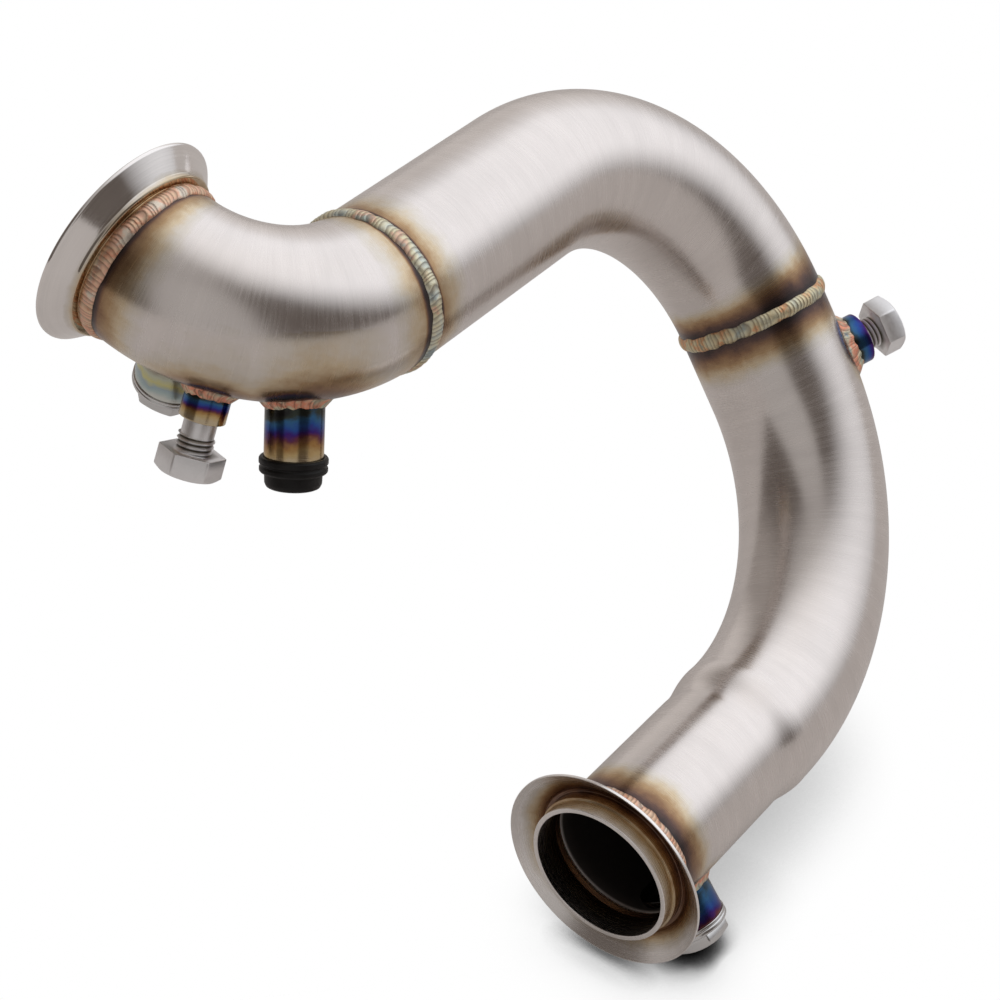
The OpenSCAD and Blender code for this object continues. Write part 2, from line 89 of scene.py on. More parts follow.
# %% The centreline as a stack of matrices
MM = 0.001                      # the frame is in metres, the drawing in millimetres
TAU = 2 * np.pi


def turn(axis, degrees):
    """A matrix that turns about X, Y or Z: cosine and sine in the other two rows."""
    a, b = [i for i in range(3) if i != "xyz".index(axis)]
    c, s = np.cos(np.radians(degrees)), np.sin(np.radians(degrees))
    m = np.eye(4)
    m[a, a] = m[b, b] = c
    m[a, b], m[b, a] = (s, -s) if axis == "y" else (-s, s)
    return m


def past(length, radius=None):
    """Matrices after each length of a straight, or of a bend of that radius.
    Along a bend the angle is length / radius, the way sideways radius (1 - cos) and
    the way forward radius sin."""
    length = np.atleast_1d(np.asarray(length, float))
    angle = length / radius if radius else 0 * length
    m = np.zeros((len(length), 4, 4))
    m[:, 1, 1] = m[:, 3, 3] = 1
    m[:, 0, 0] = m[:, 2, 2] = np.cos(angle)
    m[:, 0, 2], m[:, 2, 0] = np.sin(angle), -np.sin(angle)
    m[:, 0, 3] = radius * (1 - np.cos(angle)) if radius else 0
    m[:, 2, 3] = radius * np.sin(angle) if radius else length
    return m


TUBE_R, OUTLET_R, WALL = 31.75, 29.5, 1.6
SWAGE_START, SWAGE_RUN = 87.0, 15.0     # where the narrower outlet end grows to full size
LOWER_LEAN = 35                         # degrees, lean of the lower bend's plane
LOWER_BEND_R, UPPER_BEND_R, ELBOW_BEND_R = 110.0, 96.0, 55.0
INLET_STUB, INLET_FACE = 2.0, 13.6      # past the elbow's bend, and from there to the rim
# Each run: twist before it in degrees, length in mm, bend radius or None
RUNS = [
    (0, 107.0, None),
    (0, np.radians(86) * LOWER_BEND_R, LOWER_BEND_R),
    (0, 32.0, None),
    (3, np.radians(93) * UPPER_BEND_R, UPPER_BEND_R),
    (0, 98.0, None),
    (-143, np.radians(92) * ELBOW_BEND_R, ELBOW_BEND_R),
    (0, INLET_STUB + INLET_FACE, None),
]
ENDS = np.cumsum([0.0] + [run[1] for run in RUNS])
STARTS = []
here = turn("x", -90) @ turn("z", -90 - LOWER_LEAN)
for twist, length, radius in RUNS:
    here = here @ turn("z", twist)
    STARTS.append(here)
    here = here @ past(length, radius)[0]


def tube(s):
    """The matrix at each distance s up the tube, from the run that s falls in."""
    s = np.atleast_1d(np.asarray(s, float))
    which = np.clip(np.searchsorted(ENDS, s, side="right") - 1, 0, len(RUNS) - 1)
    m = np.zeros((len(s), 4, 4))
    for k, (twist, length, radius) in enumerate(RUNS):
        m[which == k] = STARTS[k] @ past(s[which == k] - ENDS[k], radius)
    return m


OUTLET_JOINT, MIDDLE_JOINT, ELBOW_JOINT = 14.0, ENDS[3], ENDS[5]
INLET_JOINT = ENDS[6] + INLET_STUB
print("joints, mm up the tube:", np.round([OUTLET_JOINT, MIDDLE_JOINT, ELBOW_JOINT,
                                           INLET_JOINT], 1))

# %% [markdown]
# ## The bosses
# A boss stands on the tube like a chimney on a roof. Its own matrix has Z straight out of
# the tube. Each is placed from what it stands beside: the outlet bead, or the inlet bead
# and then the boss before it, along the elbow's skin. Typing in its place by eye would
# be quicker, but then a boss would drift off its bead when a bend changes.

# %% Where the bosses stand
BEAD_W, BEAD_H = 5.6, 1.3


def boss(s, clock):
    """The boss matrix at station s: turned about the tube to its clock, then laid over."""
    return tube(s)[0] @ turn("z", clock) @ turn("y", 90)


OXYGEN_R, FRONT_R, PIPE_R, REAR_R = 13.75, 8.75, 11.0, 11.0
OXYGEN_RISE, FRONT_RISE, PIPE_RISE, REAR_RISE = 13.0, 11.0, 25.0, 9.0   # off the skin
OXYGEN_CLOCK, FRONT_CLOCK, PIPE_CLOCK, REAR_CLOCK = 88, 120, 125, 151   # degrees
inlet_oxygen_s = ENDS[6] - (BEAD_W / 2 - INLET_STUB + OXYGEN_R + 3.4)
across = np.radians(FRONT_CLOCK - OXYGEN_CLOCK) * TUBE_R
along = np.sqrt((FRONT_R + OXYGEN_R + 1.7) ** 2 - across ** 2)
front_s = inlet_oxygen_s - along * ELBOW_BEND_R / (
    ELBOW_BEND_R - TUBE_R * np.cos(np.radians((FRONT_CLOCK + OXYGEN_CLOCK) / 2)))
pipe_s = front_s - (FRONT_R + PIPE_R + 12) * ELBOW_BEND_R / (
    ELBOW_BEND_R - TUBE_R * np.cos(np.radians(PIPE_CLOCK)))
outlet_oxygen_s = OUTLET_JOINT + BEAD_W / 2 + 0.2 + OXYGEN_R
INLET_OXYGEN, FRONT = boss(inlet_oxygen_s, OXYGEN_CLOCK), boss(front_s, FRONT_CLOCK)
PIPE, REAR = boss(pipe_s, PIPE_CLOCK), boss(ENDS[2] + 1, REAR_CLOCK)
OUTLET_OXYGEN = boss(outlet_oxygen_s, 180)
print("elbow bosses, mm up the tube:", np.round([pipe_s, front_s, inlet_oxygen_s], 1))

# %% [markdown]
# ## From a grid of points to a mesh
# Every surface here is a grid: rows along a profile or a path, columns round an axis. The
# columns always close on themselves. The rows either close too, as round the wall of a
# tube, or end in a pole on the axis, as on a bolt. Three things ride on each point for
# the finishes: where it would lie if the tube were straight, how much heat it had from
# the nearest weld, and whether it is inside the bore, which is painted near black as
# painted shade. The heat rides under the name tint, because the renderer keeps the name
# heat for fire and would read nothing. On the beads, fillets and bolts the same channel
# instead marks the seams between the weld's pools and the roots of the thread, where
# painted shade darkens them. Modifiers could build such forms as well, but a grid lets
# each point be placed by a formula.

# %% Grid to mesh
FINISHES = {}


def piece(name, grid, local, ring, finish, replaces, heat=0.0, inside=0.0):
    """Builds a mesh from grid (rows, columns, 3), in mm. Each face joins a point to its
    neighbours along the row and in the next row, counted round modulo the columns."""
    rows, columns = grid.shape[:2]
    i = np.arange(rows if ring else rows - 1)[:, None]
    j = np.arange(columns)[None, :]
    up, on = (i + 1) % rows, (j + 1) % columns
    quads = np.stack([i * columns + j, i * columns + on, up * columns + on,
                      up * columns + j], -1).reshape(-1, 4)
    mesh = bpy.data.meshes.new(name)
    mesh.vertices.add(rows * columns)
    mesh.loops.add(quads.size)
    mesh.polygons.add(len(quads))
    mesh.vertices.foreach_set("co", (grid * MM).astype(np.float32).ravel())
    mesh.loops.foreach_set("vertex_index", quads.astype(np.int32).ravel())
    mesh.polygons.foreach_set("loop_start", np.arange(0, quads.size, 4, dtype=np.int32))
    mesh.polygons.foreach_set("use_smooth", np.ones(len(quads), bool))
    full = np.ones((rows, columns), np.float32)
    for label, kind, field, value in (
            ("local", "FLOAT_VECTOR", "vector", local * MM),
            ("tint", "FLOAT", "value", full * heat),
            ("inside", "FLOAT", "value", full * inside)):
        layer = mesh.attributes.new(label, kind, "POINT")
        layer.data.foreach_set(field, np.asarray(value, np.float32).ravel())
    mesh.update(calc_edges=True)
    if not ring:                        # weld the points that meet in a pole
        shell = bmesh.new()
        shell.from_mesh(mesh)
        bmesh.ops.remove_doubles(shell, verts=shell.verts, dist=1e-7)
        shell.to_mesh(mesh)
        shell.free()
    mesh.materials.append(FINISHES[finish])
    made = bpy.data.objects.new(name, mesh)
    bpy.context.scene.collection.objects.link(made)
    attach(made, "root")
    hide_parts(*replaces)
    print(f"{name}: {len(mesh.polygons)} faces")
    return made


def turned(matrix, r, z, columns):
    """Points of a turned or nearly turned form: r cos and r sin round the axis, and z
    along it. r and z have one value a row, or one for every point."""
    angle = np.arange(columns) * TAU / columns
    r = np.broadcast_to(np.asarray(r, float).reshape(len(r), -1), (len(r), columns))
    z = np.broadcast_to(np.asarray(z, float).reshape(len(r), -1), (len(r), columns))
    local = np.stack([r * np.cos(angle), r * np.sin(angle), z], -1)
    return local @ matrix[:3, :3].T + matrix[:3, 3], local


def rounded(corners, radius, steps=4):
    """A closed profile with its corners rounded: each corner becomes the curve
    (1-t)^2 a + 2 t (1-t) corner + t^2 b, between points a and b on its two sides, with a
    further point on each side so that the flats shade flat."""
    p = np.asarray(corners, float)
    radius = np.broadcast_to(radius, len(p)).reshape(-1, 1)
    back, on = np.roll(p, 1, 0) - p, np.roll(p, -1, 0) - p
    back_len = np.linalg.norm(back, axis=1, keepdims=True)
    on_len = np.linalg.norm(on, axis=1, keepdims=True)
    cut = np.minimum(radius, 0.3 * np.minimum(back_len, on_len))
    a, b = p + back / back_len * cut, p + on / on_len * cut
    t = np.linspace(0, 1, steps + 1)[None, :, None]
    curve = ((1 - t) ** 2 * a[:, None] + 2 * t * (1 - t) * p[:, None]
             + t ** 2 * b[:, None])
    before = p + back / back_len * cut * 1.5
    after = p + on / on_len * cut * 1.5
    return np.concatenate([before[:, None], curve, after[:, None]], 1).reshape(-1, 2)

# %% [markdown]
# ## Wiring a finish
# A finish is a network of nodes. Writing it as sums and products in Python keeps it
# readable: a `Wire` is one socket, and `1 - wire * 2` adds the Math nodes for it. The
# same network could be drawn by hand in the shader editor, but sums stay short in a script.

# %% Wires


class Wire:
    """One output socket of a finish. Each operator adds one Math node."""

    def __init__(self, finish, socket):
        """Keeps the finish that the socket belongs to, and the socket."""
        self.finish, self.socket = finish, socket

    def math(self, operation, a, b=0.0, clamp=False):
        """A Math node: operation applied to a and b."""
        return self.finish.node("ShaderNodeMath", {"operation": operation,
                                                   "use_clamp": clamp}, {0: a, 1: b})

    def __add__(self, other):
        """wire + other"""
        return self.math("ADD", self, other)

    def __sub__(self, other):
        """wire - other"""
        return self.math("SUBTRACT", self, other)

    def __rsub__(self, other):
        """other - wire"""
        return self.math("SUBTRACT", other, self)

    def __mul__(self, other):
        """wire times other"""
        return self.math("MULTIPLY", self, other)

    __radd__, __rmul__ = __add__, __mul__

    def step(self, low, high):
        """0 below low, 1 above high, straight between: (wire - low) / (high - low)."""
        return self.math("MULTIPLY", self - low, 1 / (high - low), clamp=True)


print("wire operators:", [name for name in vars(Wire) if name.startswith("__r")])

# %% [markdown]
# ## Starting a finish
# A `Finish` holds one material while it is wired. Every kind of node goes through its one
# method `node`, and the few that this part leans on have a name of their own: what a point
# carries, noise, a colour ramp, a mix and a bump. Colours and vectors keep to Mix and
# Vector Math, since a Math node would turn them grey.

# %% Finishes


class Finish:
    """A material under construction, or a world's light, under its name."""

    def __init__(self, name, shelf=bpy.data.materials):
        """Opens an empty network on the shelf of materials or of worlds."""
        self.made = FINISHES[name] = shelf.new(name)
        self.made.use_nodes = True
        self.tree = self.made.node_tree
        self.tree.nodes.clear()

    def node(self, kind, settings=None, sockets=None, out=0):
        """Adds a node: settings first, then a number or a wire for each socket."""
        made = self.tree.nodes.new(kind)
        for key, value in (settings or {}).items():
            if key == "stops":
                ramp = made.color_ramp.elements
                ramp[0].position, ramp[1].position = value[0][0], value[-1][0]
                ramp[0].color, ramp[1].color = (*value[0][1], 1), (*value[-1][1], 1)
                for at, colour in value[1:-1]:
                    ramp.new(at).color = (*colour, 1)
            else:
                setattr(made, key, value)
        for key, value in (sockets or {}).items():
            if isinstance(value, Wire):
                self.tree.links.new(value.socket, made.inputs[key])
            elif isinstance(value, tuple) and made.inputs[key].type == "RGBA":
                made.inputs[key].default_value = (*value, 1)
            else:
                made.inputs[key].default_value = value
        return Wire(self, made.outputs[out] if made.outputs else None)

    def read(self, label):
        """A number or vector that the mesh carries on its points."""
        return self.node("ShaderNodeAttribute", {"attribute_name": label},
                         out=1 if label == "local" else 2)

    def noise(self, stretch, detail, rough):
        """Noise over the straightened piece, so many grains a metre along X, Y and Z."""
        where = self.node("ShaderNodeVectorMath", {"operation": "MULTIPLY"},
                          {0: self.read("local"), 1: stretch})
        return self.node("ShaderNodeTexNoise", {}, {
            "Vector": where, "Scale": 1.0, "Detail": detail, "Roughness": rough})

    def ramp(self, fac, stops):
        """A colour ramp."""
        return self.node("ShaderNodeValToRGB", {"stops": stops}, {0: fac})

    def mix(self, fac, a, b, blend="MIX"):
        """Colour a turning into colour b as fac goes from 0 to 1."""
        return self.node("ShaderNodeMix", {"data_type": "RGBA", "blend_type": blend},
                         {0: fac, 6: a, 7: b}, 2)

    def white_share(self, glossy):
        """How much of the white backdrop a ray sees: 1 from the camera or through glass,
        and the share called glossy in a reflection."""
        camera, mirrored, through = [self.node("ShaderNodeLightPath", out=k)
                                     for k in (0, 3, 6)]
        return (camera + through + mirrored * glossy).step(0.0, 1.0)

    def bump(self, height, distance, strength):
        """A normal that leans as if height times distance, in metres, stood there."""
        return self.node("ShaderNodeBump", {}, {"Height": height, "Distance": distance,
                                                "Strength": strength})

    def finish(self, **sockets):
        """Closes the network with a Principled BSDF, whose sockets are given by name."""
        names = {key.replace("_", " "): value for key, value in sockets.items()}
        surface = self.node("ShaderNodeBsdfPrincipled", {}, names)
        self.node("ShaderNodeOutputMaterial", {}, {"Surface": surface})
        print("finish:", self.made.name)


# %% [markdown]
# ## Brushed stainless with heat tint
# The tube was brushed round its girth, so its grain is noise drawn out round the tube and
# fine along it. Near a weld the hot steel grew an oxide film, whose thickness gives its
# colour: straw, brown, purple, then blue-black at the toe of the bead. The heat that each
# point carries picks that colour from a ramp, after noise has made its edge ragged. A
# painted picture could hold the same bands, but it would blur close up and would have to
# be painted again for every change of a bend.

# %% Brushed stainless
STEEL = (0.75, 0.705, 0.68)
OXIDE = [(0.0, STEEL), (0.18, (0.69, 0.64, 0.57)), (0.36, (0.62, 0.51, 0.36)),
         (0.52, (0.43, 0.29, 0.165)), (0.68, (0.26, 0.155, 0.095)),
         (0.84, (0.125, 0.08, 0.07)), (1.0, (0.06, 0.05, 0.05))]


def brushed(name, grain, oxide, rough, girth=55.0, wander=0.35):
    """Steel brushed round its axis: grain lines a metre along it, with heat tint, and
    the bore's colour painted near black as painted shade.
    """
    f = Finish(name)
    fine = f.noise((girth, girth, grain), 3.0, 0.65)
    broad = f.noise((girth * 0.5, girth * 0.5, grain * 0.09), 2.0, 0.5)
    cloud = f.noise((45.0, 45.0, 45.0), 3.0, 0.6)
    ragged = f.noise((160.0, 160.0, 160.0), 3.0, 0.65)
    heat = f.read("tint") + (ragged - 0.5) * 0.30 + (cloud - 0.5) * wander
    tint = f.ramp(heat, oxide)
    shade = (fine - 0.5) * 0.20 + (broad - 0.5) * 0.14 + (cloud - 0.5) * 0.16 + 1.0
    grey = f.node("ShaderNodeCombineColor", {}, {0: shade, 1: shade, 2: shade})
    lit = f.mix(1.0, tint, grey, "MULTIPLY")
    inside = f.read("inside")
    # Painted shade: the bore is coloured near black, as the shade that fills the inside of
    # the tube.
    base = f.mix(inside, lit, (0.030, 0.026, 0.024))
    roughness = (fine - 0.5) * 0.22 + (cloud - 0.5) * 0.10 + inside * 0.3 + rough
    f.finish(Base_Color=base, Metallic=1.0 - inside * 0.6, Roughness=roughness,
             Normal=f.bump(fine * 0.7 + broad * 0.3, 0.00004, 0.4))


brushed("brushed_tube", 1900.0, OXIDE, 0.25)
TURNED = [(0.0, (0.86, 0.83, 0.81))] + OXIDE[1:]
brushed("turned_flange", 2600.0, TURNED, 0.27, girth=24.0)
brushed("polished_flange", 2600.0, TURNED, 0.12, girth=24.0)

# %% [markdown]
# ## Weld metal
# A bead laid by hand is a row of small frozen pools. Its colour wanders along it with the
# heat of each pool, from cream and straw to pink, orange and a green-blue grey, and the
# seams between the pools are painted darker, as painted shade. One ramp a bead keeps the
# beads apart, as on the real pipe, where each was laid with a torch at another speed.

# %% Bead and fillet weld metal


def weld_metal(name, stops, seam_shade):
    """Weld metal: broad noise picks the colour from stops, the seams are darkened as painted
    shade.
    """
    f = Finish(name)
    wander = f.noise((95.0, 95.0, 95.0), 2.0, 0.6)
    speck = f.noise((900.0, 900.0, 900.0), 3.0, 0.7)
    base = f.ramp((wander - 0.5) * 2.6 + (speck - 0.5) * 0.45 + 0.5, stops)
    seam = f.read("tint")
    # Painted shade: the seams between the pools are darkened towards dark brown.
    base = f.mix(seam * seam_shade, base, (0.13, 0.09, 0.07))
    f.finish(Base_Color=base, Metallic=0.85, Roughness=(speck - 0.5) * 0.25 + 0.42,
             Normal=f.bump(speck, 0.00010, 0.5))


weld_metal("bead_straw", [(0.0, (0.38, 0.43, 0.40)), (0.22, (0.66, 0.65, 0.50)),
                          (0.42, (0.74, 0.68, 0.47)), (0.60, (0.72, 0.60, 0.38)),
                          (0.74, (0.80, 0.42, 0.22)), (0.88, (0.66, 0.50, 0.30)),
                          (1.0, (0.42, 0.42, 0.34))], 0.62)
weld_metal("bead_cream", [(0.0, (0.34, 0.44, 0.50)), (0.20, (0.60, 0.68, 0.64)),
                          (0.40, (0.80, 0.79, 0.64)), (0.62, (0.78, 0.72, 0.50)),
                          (0.78, (0.84, 0.56, 0.42)), (1.0, (0.50, 0.56, 0.50))], 0.65)
weld_metal("bead_pink", [(0.0, (0.62, 0.54, 0.48)), (0.22, (0.80, 0.72, 0.60)),
                         (0.42, (0.84, 0.50, 0.36)), (0.62, (0.82, 0.60, 0.42)),
                         (0.80, (0.80, 0.38, 0.24)), (1.0, (0.74, 0.66, 0.52))], 0.6)
weld_metal("fillet_metal", [(0.0, (0.30, 0.42, 0.50)), (0.20, (0.66, 0.64, 0.48)),
                            (0.40, (0.86, 0.52, 0.36)), (0.58, (0.86, 0.32, 0.20)),
                            (0.76, (0.80, 0.66, 0.46)), (1.0, (0.56, 0.62, 0.50))], 0.7)

# %% [markdown]
# ## Blued bosses, plated bolts, and rubber
# The bosses are small, so the weld's heat ran right up them: their barrels carry bands of
# blue, purple, brown and gold. The brushed finish makes them too, with another ramp. The
# bolts were never hot, and keep their pale plating, and the cap is moulded rubber: both get
# a short network of their own, because neither has any grain.

# %% The small parts' finishes
BLUED = [(0.0, (0.60, 0.50, 0.34)), (0.16, (0.56, 0.41, 0.20)), (0.32, (0.40, 0.22, 0.08)),
         (0.44, (0.16, 0.05, 0.07)), (0.54, (0.06, 0.025, 0.20)), (0.66, (0.035, 0.09, 0.34)),
         (0.80, (0.05, 0.15, 0.30)), (0.90, (0.05, 0.06, 0.05)), (1.0, (0.03, 0.03, 0.03))]
YELLOWED = [(0.0, (0.66, 0.68, 0.64)), (0.22, (0.42, 0.52, 0.52)), (0.42, (0.34, 0.42, 0.46)),
            (0.6, (0.60, 0.57, 0.27)), (0.8, (0.50, 0.52, 0.42)), (1.0, (0.30, 0.26, 0.22))]
brushed("blued_barrel", 2400.0, BLUED, 0.17, girth=30.0, wander=0.8)
brushed("yellowed_barrel", 2400.0, YELLOWED, 0.22, girth=30.0, wander=0.9)
brushed("bright_plug", 2600.0, [(0.0, (0.66, 0.66, 0.66)), (1.0, (0.45, 0.42, 0.40))], 0.20,
        girth=20.0)


def plated():
    """Pale zinc plating: fine mottle in colour and roughness, darkened as painted shade in
    the thread's roots, where the tint channel is set.
    """
    f = Finish("plated_bolt")
    mottle = f.noise((700.0, 700.0, 700.0), 3.0, 0.6)
    cloud = f.noise((120.0, 120.0, 120.0), 2.0, 0.5)
    base = f.ramp((mottle - 0.5) * 0.6 + (cloud - 0.5) * 0.5 + 0.5,
                  [(0.0, (0.78, 0.78, 0.79)), (1.0, (0.98, 0.98, 0.99))])
    # Painted shade: darker where the mesh marks the roots of the thread.
    base = f.mix(f.read("tint").step(0.35, 1.0), base, (0.10, 0.085, 0.06))
    f.finish(Base_Color=base, Metallic=1.0, Roughness=(mottle - 0.5) * 0.2 + 0.42,
             Normal=f.bump(mottle, 0.00003, 0.4))


def moulded():
    """Black rubber: nearly flat black, a soft sheen, a fine moulded skin."""
    f = Finish("moulded_rubber")
    skin = f.noise((1500.0, 1500.0, 1500.0), 2.0, 0.6)
    dust = f.noise((160.0, 160.0, 160.0), 3.0, 0.6)
    base = f.ramp(dust, [(0.3, (0.006, 0.006, 0.006)), (0.8, (0.015, 0.014, 0.014))])
    f.finish(Base_Color=base, Metallic=0.0, Specular_IOR_Level=0.22,
             Roughness=(skin - 0.5) * 0.2 + 0.42, Normal=f.bump(skin, 0.00004, 0.5))


plated()
moulded()

# %% [markdown]
# ## The three tubes
# Each tube's wall is one grid: the outer skin up, round the cut end, and the bore back
# down. The radius follows the real tube, with the soft step where the outlet end was
# swaged down. Every point also takes its heat from how far it lies from the nearest weld.
# Sweeping a circle would give the skin alone, and the mouth needs the wall's edge as well.

# %% Tube walls


def swaged(s):
    """The outer radius: 29.5 mm, then a half cosine wave up to 31.75 mm, with a faint
    lip left by the swaging die at each end of the step."""
    t = np.clip((s - SWAGE_START) / SWAGE_RUN, 0, 1)
    step = OUTLET_R + (TUBE_R - OUTLET_R) * (1 - np.cos(np.pi * t)) / 2
    lip = 0.14 * np.exp(-((s - SWAGE_START - SWAGE_RUN - 1) / 2.2) ** 2)
    return step + lip - 0.1 * np.exp(-((s - SWAGE_START + 1) / 2) ** 2)


TOE_HEAT, TOE_RUN = 1.3, 1.4    # the black line at a weld's toe: its heat, and mm to 0


def ring_heat(s, joint, peak, reach):
    """Heat beside a ring weld: peak (1 - d / reach) at a distance d from the bead's toe,
    and TOE_HEAT - d / TOE_RUN where that is more, which draws the thin black line."""
    d = np.abs(s - joint) - BEAD_W / 2
    return np.maximum(peak * (1 - d / reach), TOE_HEAT - d / TOE_RUN)


def boss_heat(points, matrix, foot, peak, reach):
    """Heat beside a boss, as for a ring weld, with d as the distance from the boss's axis
    less foot, and only on the boss's own side of the tube."""
    away = (points - matrix[:3, 3]) @ matrix[:3, :3]
    d = np.hypot(away[..., 0], away[..., 1]) - foot
    heat = np.maximum(peak * (1 - d / reach), TOE_HEAT - d / TOE_RUN)
    return np.where(away[..., 2] > 0, heat, -1.0)


def pipe_wall(name, start, stop, joints, bosses, node, columns=232):
    """A tube between two stations: rows about 1.1 mm apart outside, 5 mm inside."""
    outer_s = np.linspace(start, stop - 1e-4, int((stop - start) / 1.1))
    inner_s = outer_s[::-5]
    s = np.concatenate([outer_s, inner_s])
    bore = np.concatenate([0 * outer_s, 0 * inner_s + 1])
    r = swaged(s) - bore * WALL
    angle = np.arange(columns) * TAU / columns
    flat = np.stack([np.cos(angle), np.sin(angle)])
    m = tube(s)
    spoke = np.einsum("nij,jk->nki", m[:, :3, :2], flat)
    grid = m[:, None, :3, 3] + r[:, None, None] * spoke
    local = np.stack([r[:, None] * flat[0], r[:, None] * flat[1],
                      np.broadcast_to(s[:, None], (len(s), columns))], -1)
    heat = np.max([ring_heat(local[..., 2], *j) for j in joints]
                  + [boss_heat(grid, *b) for b in bosses], 0)
    heat = np.clip(heat, -1, 1.1) * (1 - bore[:, None]) - bore[:, None]
    return piece(name, grid, local, True, "brushed_tube", [node], heat,
                 bore[:, None])


pipe_wall("lower_tube", OUTLET_JOINT, MIDDLE_JOINT,
          [(OUTLET_JOINT, 1.02, 19), (MIDDLE_JOINT, 1.0, 18)],
          [(REAR, 15.5, 0.8, 9), (OUTLET_OXYGEN, 16, 0.7, 8)], "lower_pipe")
pipe_wall("upper_tube", MIDDLE_JOINT, ELBOW_JOINT,
          [(MIDDLE_JOINT, 1.08, 21), (ELBOW_JOINT, 0.62, 16)], [], "upper_pipe")
pipe_wall("elbow_tube", ELBOW_JOINT, INLET_JOINT,
          [(ELBOW_JOINT, 0.52, 12), (INLET_JOINT, 0.74, 13)],
          [(FRONT, 11.5, 0.95, 22), (PIPE, 13.0, 0.98, 25), (INLET_OXYGEN, 15.5, 0.9, 16)],
          "inlet_elbow")

# %% [markdown]
# ## The clamp flanges
# A V-band flange is turned from bar, so it is one profile carried round. The outlet's has
# a lip that stands in front of the dished rim, and a square groove between the two. Every
# corner is eased a little, as a lathe hand would, because a perfect edge catches no light.
# A bevel modifier would ease them too, but the curve is exact when the profile has it.

# %% Flanges


def flange(name, corners, matrix, hot, reach, node, finish, radius=0.35, columns=300):
    """A turned ring from corners (radius, distance along the axis), with heat from how
    far each point of the profile is from the weld at hot."""
    p = np.asarray(corners, float)
    area = np.sum(p[:, 0] * np.roll(p[:, 1], -1) - np.roll(p[:, 0], -1) * p[:, 1])
    p = rounded(p if area > 0 else p[::-1], radius)
    grid, local = turned(matrix, p[:, 0], p[:, 1], columns)
    heat = np.clip(0.9 - np.hypot(p[:, 0] - hot[0], p[:, 1] - hot[1]) / reach, -1, 0.9)
    return piece(name, grid, local, True, finish, [node], heat[:, None])


flange("outlet_v_flange", [
    (28.7, 0), (30.7, 0), (30.7, 5.9), (31.5, 5.9), (31.5, 10.6), (33.0, 10.6),
    (43.8, 2.8), (43.8, 4.2), (32.3, 12.7), (29.5, 14), (27.9, 14), (28.7, 11.62)],
    tube(0)[0], (31.5, 12.5), 13, "outlet_flange", "turned_flange")
flange("inlet_v_flange", [
    (r, INLET_FACE - z) for r, z in [
        (42.5, 0), (42.5, 1.2), (35.8, 7.6), (35.2, 8.2), (35.2, 9.4), (34.6, 10),
        (31.75, 10), (31.75, 13.6), (30.6, 13.6), (30.6, 6.2), (34.4, 6.2), (41.3, 0)]],
    tube(INLET_JOINT)[0], (31.5, 0), 9, "inlet_flange", "polished_flange")

# %% [markdown]
# ## The ring beads
# A bead is a low dome across its width, wavering a little in place and width. Along it
# run the ripples: each frozen pool is a small scale that starts high and falls away to
# the next, with its edge drawn back into a crescent towards the toes. A bump texture would
# fake them from afar, but in the picture the ripples break the bead's outline, so they are
# real shape.

# %% Ripple beads


def waver(angle, seed, low, high, size):
    """A smooth closed wave of that size: a sum of sines of whole numbers of turns."""
    draw = np.random.default_rng(seed)
    k = np.arange(low, high)
    phase = draw.uniform(0, TAU, len(k))
    weight = draw.uniform(0.4, 1, len(k)) / np.sqrt(len(k))
    return size * np.sum(weight * np.sin(k * angle[..., None] + phase), -1)


def ripple(angle, t, count, seed):
    """Scales along a weld: a saw tooth of count turns, drawn back by t squared, that
    rises sharply in its first tenth and then falls away."""
    phase = count * angle / TAU + 0.42 * t ** 2 + waver(angle, seed, 9, 40, 0.45)
    saw = phase % 1
    return np.minimum(saw / 0.14, 1) * (1 - saw) ** 0.8


def bead(name, s, radius, finish, node, seed, pitch=2.0, columns=960):
    """A closed ring: the dome (1 - t^2)^0.6 with its ripples, then a back under it."""
    angle = (np.arange(columns) * TAU / columns)[None, :]
    t = np.concatenate([np.linspace(-1, 1, 23), [0.8, -0.8]])[:, None]
    dome = np.clip(1 - t ** 2, 0, 1) ** 0.6
    scale = ripple(angle, t, round(TAU * radius / pitch), seed)
    size = 1 + waver(angle, seed + 1, 3, 30, 0.11)
    r = radius - 0.3 + dome * (BEAD_H * size + 0.3) + 0.30 * dome ** 0.5 * (scale - 0.5)
    r[-2:] = radius - 0.8
    z = t * (BEAD_W / 2 + 0.45) * size + waver(angle, seed + 2, 2, 22, 0.28)
    grid, local = turned(tube(s - 1e-4)[0], r, z, columns)
    # Painted shade: the last value marks the seams between the pools, which the weld metal
    # darkens.
    return piece(name, grid, local, True, finish, [node],
                 np.clip(1 - 1.6 * scale, 0, 1) * np.ones_like(r))


bead("middle_bead", MIDDLE_JOINT, TUBE_R, "bead_straw", "middle_weld", 11)
bead("elbow_bead", ELBOW_JOINT, TUBE_R, "bead_cream", "elbow_weld", 23)
bead("inlet_bead", INLET_JOINT, TUBE_R, "bead_pink", "inlet_flange_weld", 37)
bead("outlet_bead", OUTLET_JOINT + 0.6, OUTLET_R, "bead_pink", "outlet_weld", 41)

# %% [markdown]
# ## The fillets round the bosses
# Where a round boss meets a round tube, the weld between them rides up and down like a
# saddle. To follow it, the script finds the tube's skin under each point of two circles
# round the boss, and bulges a small cushion of weld metal between them. A boolean would
# find the same curve, but it leaves ragged faces that no ripple can be laid on.

# %% Fillet welds


